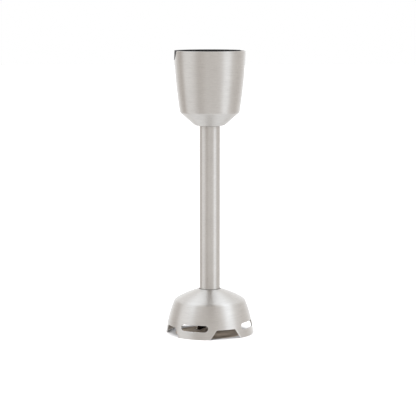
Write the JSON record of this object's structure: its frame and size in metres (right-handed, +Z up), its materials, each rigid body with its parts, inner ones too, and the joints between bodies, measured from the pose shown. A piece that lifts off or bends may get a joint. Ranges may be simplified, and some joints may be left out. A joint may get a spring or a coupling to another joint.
{
  "type": "immersion blender blending arm",
  "caption": "Detachable blending arm of an immersion blender: steel socket cup, long tube and slotted blade guard round a spinning shaft with a bent blade and sprung coupling.",
  "frame": {"origin": "on the shaft's axis, in the plane of the blade guard's feet", "axes": "+Z up along the shaft to the socket's mouth, -Y to the front, +X to the right; the socket rim's dip is at -X"},
  "size_m": [0.073, 0.073, 0.235],
  "materials": {
    "brushed_steel": "satin, brushed round the axis",
    "blade_steel": "polished and ground at the edges",
    "shaft_steel": "turned",
    "fastener_steel": "bright",
    "spring_steel": "drawn wire",
    "black_plastic": "moulded, matte",
    "grey_plastic": "moulded, matte",
    "bronze": "sintered, oiled",
    "black_rubber": "moulded rubber"
  },
  "bodies": {
    "root": {"coupling_cup": "brushed_steel", "outer_tube": "brushed_steel", "blade_guard": "brushed_steel", "socket_liner": "black_plastic", "lower_bearing_housing": "black_plastic", "upper_bearing_housing": "grey_plastic", "middle_guide": "grey_plastic", "liner_screws": "fastener_steel", "seal_retainer": "fastener_steel", "seal_garter_spring": "fastener_steel", "upper_bush": "bronze", "middle_bush": "bronze", "lower_bush": "bronze", "upper_o_ring": "black_rubber", "middle_o_rings": "black_rubber", "lower_o_ring": "black_rubber", "shaft_seal": "black_rubber"},
    "drive_line": {"drive_shaft": "shaft_steel", "upper_thrust_washer": "shaft_steel", "upper_circlip": "spring_steel", "spring_seat": "shaft_steel", "coupling_spring": "spring_steel", "coupling_clip": "spring_steel", "lower_thrust_washer": "shaft_steel", "lower_circlip": "spring_steel", "blade_hub": "shaft_steel", "blade": "blade_steel", "blade_washer": "fastener_steel", "blade_nut": "fastener_steel"},
    "coupling": {"coupling_hub": "shaft_steel", "drive_coupling": "black_plastic"}
  },
  "joints": [
    {"name": "shaft_spin", "type": "hinge", "parent": "root", "child": "drive_line", "pos_m": [0, 0, 0.1], "axis": [0, 0, 1], "continuous": true},
    {"name": "coupling_float", "type": "slide", "parent": "drive_line", "child": "coupling", "axis": [0, 0, 1], "range_m": [-0.0025, 0], "stiffness_N_per_m": 800, "springref_m": 0.004, "deforming": ["coupling_spring"]}
  ]
}
